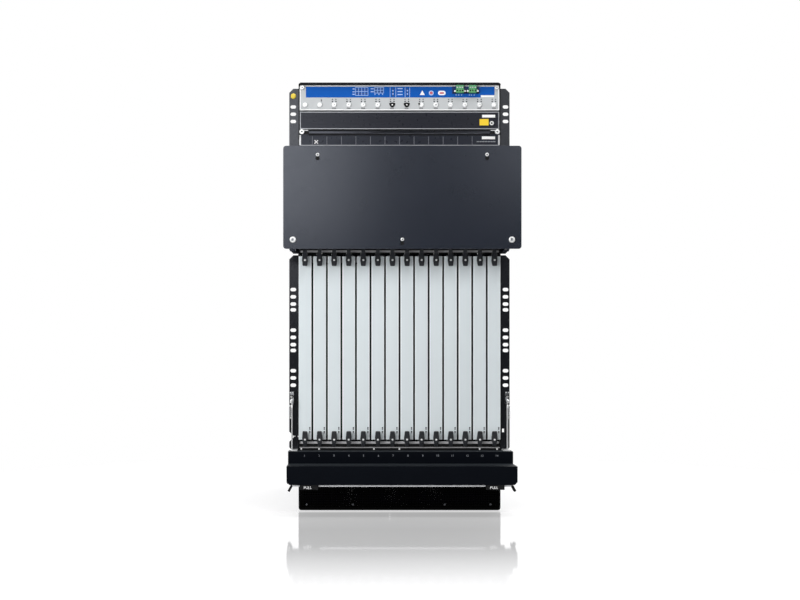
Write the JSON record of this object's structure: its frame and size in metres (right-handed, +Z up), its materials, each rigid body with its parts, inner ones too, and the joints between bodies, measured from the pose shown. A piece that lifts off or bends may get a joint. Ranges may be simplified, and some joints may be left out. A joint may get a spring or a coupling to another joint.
{
  "type": "modular chassis router",
  "caption": "Tall rack router chassis with upright blank cards, ejector levers, craft panel, front cover plate and a swing-out cable manager.",
  "frame": {"origin": "middle of the base, below the rear face of the rack flanges", "axes": "+X to the right seen from the front, +Y to the back, +Z up"},
  "size_m": [0.4948, 0.742, 0.9334],
  "materials": {
    "black_paint": "satin black powder coat",
    "charcoal_paint": "satin charcoal paint",
    "manager_paint": "satin near-black paint",
    "silver_paint": "satin silver paint",
    "card_paint": "satin light grey paint",
    "supply_paint": "satin dark grey paint",
    "bare_steel": "bare zinc-plated sheet",
    "board": "glass-fibre circuit board",
    "lever_plastic": "moulded black",
    "button_plastic": "moulded white",
    "green_plastic": "moulded green",
    "filter_fabric": "grey filter mat in a frame"
  },
  "bodies": {
    "chassis": {"chassis_shell": "black_paint", "rack_flanges": "black_paint", "card_cage": "bare_steel", "midplane": "board", "line_cards": "card_paint", "craft_panel": "silver_paint", "alarm_terminals": "green_plastic", "esd_panel": "black_paint", "fan_trays": "black_paint", "air_filter": "filter_fabric", "vent_grilles": "black_paint", "cover_plate": "charcoal_paint", "cover_frame": "black_paint", "power_supplies": "supply_paint"},
    "cable_manager": {"cable_manager": "manager_paint", "support_arms": "bare_steel"},
    "left_pull_release": {"left_pull_release": "lever_plastic"},
    "right_pull_release": {"right_pull_release": "lever_plastic"},
    "lower_ejector_01": {"lower_ejector_01": "lever_plastic"},
    "upper_ejector_01": {"upper_ejector_01": "lever_plastic"},
    "lower_ejector_02": {"lower_ejector_02": "lever_plastic"},
    "upper_ejector_02": {"upper_ejector_02": "lever_plastic"},
    "lower_ejector_03": {"lower_ejector_03": "lever_plastic"},
    "upper_ejector_03": {"upper_ejector_03": "lever_plastic"},
    "lower_ejector_04": {"lower_ejector_04": "lever_plastic"},
    "upper_ejector_04": {"upper_ejector_04": "lever_plastic"},
    "lower_ejector_05": {"lower_ejector_05": "lever_plastic"},
    "upper_ejector_05": {"upper_ejector_05": "lever_plastic"},
    "lower_ejector_06": {"lower_ejector_06": "lever_plastic"},
    "upper_ejector_06": {"upper_ejector_06": "lever_plastic"},
    "lower_ejector_07": {"lower_ejector_07": "lever_plastic"},
    "upper_ejector_07": {"upper_ejector_07": "lever_plastic"},
    "lower_ejector_08": {"lower_ejector_08": "lever_plastic"},
    "upper_ejector_08": {"upper_ejector_08": "lever_plastic"},
    "lower_ejector_09": {"lower_ejector_09": "lever_plastic"},
    "upper_ejector_09": {"upper_ejector_09": "lever_plastic"},
    "lower_ejector_10": {"lower_ejector_10": "lever_plastic"},
    "upper_ejector_10": {"upper_ejector_10": "lever_plastic"},
    "lower_ejector_11": {"lower_ejector_11": "lever_plastic"},
    "upper_ejector_11": {"upper_ejector_11": "lever_plastic"},
    "lower_ejector_12": {"lower_ejector_12": "lever_plastic"},
    "upper_ejector_12": {"upper_ejector_12": "lever_plastic"},
    "lower_ejector_13": {"lower_ejector_13": "lever_plastic"},
    "upper_ejector_13": {"upper_ejector_13": "lever_plastic"},
    "lower_ejector_14": {"lower_ejector_14": "lever_plastic"},
    "upper_ejector_14": {"upper_ejector_14": "lever_plastic"},
    "slot_button_01": {"slot_button_01": "button_plastic"},
    "slot_button_02": {"slot_button_02": "button_plastic"},
    "slot_button_03": {"slot_button_03": "button_plastic"},
    "slot_button_04": {"slot_button_04": "button_plastic"},
    "slot_button_05": {"slot_button_05": "button_plastic"},
    "slot_button_06": {"slot_button_06": "button_plastic"},
    "slot_button_07": {"slot_button_07": "button_plastic"},
    "slot_button_08": {"slot_button_08": "button_plastic"},
    "slot_button_09": {"slot_button_09": "button_plastic"},
    "slot_button_10": {"slot_button_10": "button_plastic"},
    "slot_button_11": {"slot_button_11": "button_plastic"},
    "slot_button_12": {"slot_button_12": "button_plastic"},
    "slot_button_13": {"slot_button_13": "button_plastic"},
    "slot_button_14": {"slot_button_14": "button_plastic"}
  },
  "joints": [
    {"name": "cable_manager_swing", "type": "hinge", "parent": "chassis", "child": "cable_manager", "pos_m": [0, -0.014, 0.238], "axis": [-1, 0, 0], "range_deg": [0, 75]},
    {"name": "left_release_pull", "type": "slide", "parent": "cable_manager", "child": "left_pull_release", "axis": [0, -1, 0], "range_m": [0, 0.006], "stiffness_N_per_m": 300},
    {"name": "right_release_pull", "type": "slide", "parent": "cable_manager", "child": "right_pull_release", "axis": [0, -1, 0], "range_m": [0, 0.006], "stiffness_N_per_m": 300},
    {"name": "lower_ejector_01_swing", "type": "hinge", "parent": "chassis", "child": "lower_ejector_01", "pos_m": [-0.20633, -0.016, 0.15], "axis": [1, 0, 0], "range_deg": [0, 60]},
    {"name": "upper_ejector_01_swing", "type": "hinge", "parent": "chassis", "child": "upper_ejector_01", "pos_m": [-0.20633, -0.016, 0.5592], "axis": [-1, 0, 0], "range_deg": [0, 60]},
    {"name": "lower_ejector_02_swing", "type": "hinge", "parent": "chassis", "child": "lower_ejector_02", "pos_m": [-0.17459, -0.016, 0.15], "axis": [1, 0, 0], "range_deg": [0, 60]},
    {"name": "upper_ejector_02_swing", "type": "hinge", "parent": "chassis", "child": "upper_ejector_02", "pos_m": [-0.17459, -0.016, 0.5592], "axis": [-1, 0, 0], "range_deg": [0, 60]},
    {"name": "lower_ejector_03_swing", "type": "hinge", "parent": "chassis", "child": "lower_ejector_03", "pos_m": [-0.14284, -0.016, 0.15], "axis": [1, 0, 0], "range_deg": [0, 60]},
    {"name": "upper_ejector_03_swing", "type": "hinge", "parent": "chassis", "child": "upper_ejector_03", "pos_m": [-0.14284, -0.016, 0.5592], "axis": [-1, 0, 0], "range_deg": [0, 60]},
    {"name": "lower_ejector_04_swing", "type": "hinge", "parent": "chassis", "child": "lower_ejector_04", "pos_m": [-0.1111, -0.016, 0.15], "axis": [1, 0, 0], "range_deg": [0, 60]},
    {"name": "upper_ejector_04_swing", "type": "hinge", "parent": "chassis", "child": "upper_ejector_04", "pos_m": [-0.1111, -0.016, 0.5592], "axis": [-1, 0, 0], "range_deg": [0, 60]},
    {"name": "lower_ejector_05_swing", "type": "hinge", "parent": "chassis", "child": "lower_ejector_05", "pos_m": [-0.07936, -0.016, 0.15], "axis": [1, 0, 0], "range_deg": [0, 60]},
    {"name": "upper_ejector_05_swing", "type": "hinge", "parent": "chassis", "child": "upper_ejector_05", "pos_m": [-0.07936, -0.016, 0.5592], "axis": [-1, 0, 0], "range_deg": [0, 60]},
    {"name": "lower_ejector_06_swing", "type": "hinge", "parent": "chassis", "child": "lower_ejector_06", "pos_m": [-0.04761, -0.016, 0.15], "axis": [1, 0, 0], "range_deg": [0, 60]},
    {"name": "upper_ejector_06_swing", "type": "hinge", "parent": "chassis", "child": "upper_ejector_06", "pos_m": [-0.04761, -0.016, 0.5592], "axis": [-1, 0, 0], "range_deg": [0, 60]},
    {"name": "lower_ejector_07_swing", "type": "hinge", "parent": "chassis", "child": "lower_ejector_07", "pos_m": [-0.01587, -0.016, 0.15], "axis": [1, 0, 0], "range_deg": [0, 60]},
    {"name": "upper_ejector_07_swing", "type": "hinge", "parent": "chassis", "child": "upper_ejector_07", "pos_m": [-0.01587, -0.016, 0.5592], "axis": [-1, 0, 0], "range_deg": [0, 60]},
    {"name": "lower_ejector_08_swing", "type": "hinge", "parent": "chassis", "child": "lower_ejector_08", "pos_m": [0.01587, -0.016, 0.15], "axis": [1, 0, 0], "range_deg": [0, 60]},
    {"name": "upper_ejector_08_swing", "type": "hinge", "parent": "chassis", "child": "upper_ejector_08", "pos_m": [0.01587, -0.016, 0.5592], "axis": [-1, 0, 0], "range_deg": [0, 60]},
    {"name": "lower_ejector_09_swing", "type": "hinge", "parent": "chassis", "child": "lower_ejector_09", "pos_m": [0.04761, -0.016, 0.15], "axis": [1, 0, 0], "range_deg": [0, 60]},
    {"name": "upper_ejector_09_swing", "type": "hinge", "parent": "chassis", "child": "upper_ejector_09", "pos_m": [0.04761, -0.016, 0.5592], "axis": [-1, 0, 0], "range_deg": [0, 60]},
    {"name": "lower_ejector_10_swing", "type": "hinge", "parent": "chassis", "child": "lower_ejector_10", "pos_m": [0.07936, -0.016, 0.15], "axis": [1, 0, 0], "range_deg": [0, 60]},
    {"name": "upper_ejector_10_swing", "type": "hinge", "parent": "chassis", "child": "upper_ejector_10", "pos_m": [0.07936, -0.016, 0.5592], "axis": [-1, 0, 0], "range_deg": [0, 60]},
    {"name": "lower_ejector_11_swing", "type": "hinge", "parent": "chassis", "child": "lower_ejector_11", "pos_m": [0.1111, -0.016, 0.15], "axis": [1, 0, 0], "range_deg": [0, 60]},
    {"name": "upper_ejector_11_swing", "type": "hinge", "parent": "chassis", "child": "upper_ejector_11", "pos_m": [0.1111, -0.016, 0.5592], "axis": [-1, 0, 0], "range_deg": [0, 60]},
    {"name": "lower_ejector_12_swing", "type": "hinge", "parent": "chassis", "child": "lower_ejector_12", "pos_m": [0.14284, -0.016, 0.15], "axis": [1, 0, 0], "range_deg": [0, 60]},
    {"name": "upper_ejector_12_swing", "type": "hinge", "parent": "chassis", "child": "upper_ejector_12", "pos_m": [0.14284, -0.016, 0.5592], "axis": [-1, 0, 0], "range_deg": [0, 60]},
    {"name": "lower_ejector_13_swing", "type": "hinge", "parent": "chassis", "child": "lower_ejector_13", "pos_m": [0.17459, -0.016, 0.15], "axis": [1, 0, 0], "range_deg": [0, 60]},
    {"name": "upper_ejector_13_swing", "type": "hinge", "parent": "chassis", "child": "upper_ejector_13", "pos_m": [0.17459, -0.016, 0.5592], "axis": [-1, 0, 0], "range_deg": [0, 60]},
    {"name": "lower_ejector_14_swing", "type": "hinge", "parent": "chassis", "child": "lower_ejector_14", "pos_m": [0.20633, -0.016, 0.15], "axis": [1, 0, 0], "range_deg": [0, 60]},
    {"name": "upper_ejector_14_swing", "type": "hinge", "parent": "chassis", "child": "upper_ejector_14", "pos_m": [0.20633, -0.016, 0.5592], "axis": [-1, 0, 0], "range_deg": [0, 60]},
    {"name": "slot_button_01_press", "type": "slide", "parent": "chassis", "child": "slot_button_01", "axis": [0, 1, 0], "range_m": [0, 0.0015], "stiffness_N_per_m": 400},
    {"name": "slot_button_02_press", "type": "slide", "parent": "chassis", "child": "slot_button_02", "axis": [0, 1, 0], "range_m": [0, 0.0015], "stiffness_N_per_m": 400},
    {"name": "slot_button_03_press", "type": "slide", "parent": "chassis", "child": "slot_button_03", "axis": [0, 1, 0], "range_m": [0, 0.0015], "stiffness_N_per_m": 400},
    {"name": "slot_button_04_press", "type": "slide", "parent": "chassis", "child": "slot_button_04", "axis": [0, 1, 0], "range_m": [0, 0.0015], "stiffness_N_per_m": 400},
    {"name": "slot_button_05_press", "type": "slide", "parent": "chassis", "child": "slot_button_05", "axis": [0, 1, 0], "range_m": [0, 0.0015], "stiffness_N_per_m": 400},
    {"name": "slot_button_06_press", "type": "slide", "parent": "chassis", "child": "slot_button_06", "axis": [0, 1, 0], "range_m": [0, 0.0015], "stiffness_N_per_m": 400},
    {"name": "slot_button_07_press", "type": "slide", "parent": "chassis", "child": "slot_button_07", "axis": [0, 1, 0], "range_m": [0, 0.0015], "stiffness_N_per_m": 400},
    {"name": "slot_button_08_press", "type": "slide", "parent": "chassis", "child": "slot_button_08", "axis": [0, 1, 0], "range_m": [0, 0.0015], "stiffness_N_per_m": 400},
    {"name": "slot_button_09_press", "type": "slide", "parent": "chassis", "child": "slot_button_09", "axis": [0, 1, 0], "range_m": [0, 0.0015], "stiffness_N_per_m": 400},
    {"name": "slot_button_10_press", "type": "slide", "parent": "chassis", "child": "slot_button_10", "axis": [0, 1, 0], "range_m": [0, 0.0015], "stiffness_N_per_m": 400},
    {"name": "slot_button_11_press", "type": "slide", "parent": "chassis", "child": "slot_button_11", "axis": [0, 1, 0], "range_m": [0, 0.0015], "stiffness_N_per_m": 400},
    {"name": "slot_button_12_press", "type": "slide", "parent": "chassis", "child": "slot_button_12", "axis": [0, 1, 0], "range_m": [0, 0.0015], "stiffness_N_per_m": 400},
    {"name": "slot_button_13_press", "type": "slide", "parent": "chassis", "child": "slot_button_13", "axis": [0, 1, 0], "range_m": [0, 0.0015], "stiffness_N_per_m": 400},
    {"name": "slot_button_14_press", "type": "slide", "parent": "chassis", "child": "slot_button_14", "axis": [0, 1, 0], "range_m": [0, 0.0015], "stiffness_N_per_m": 400}
  ]
}
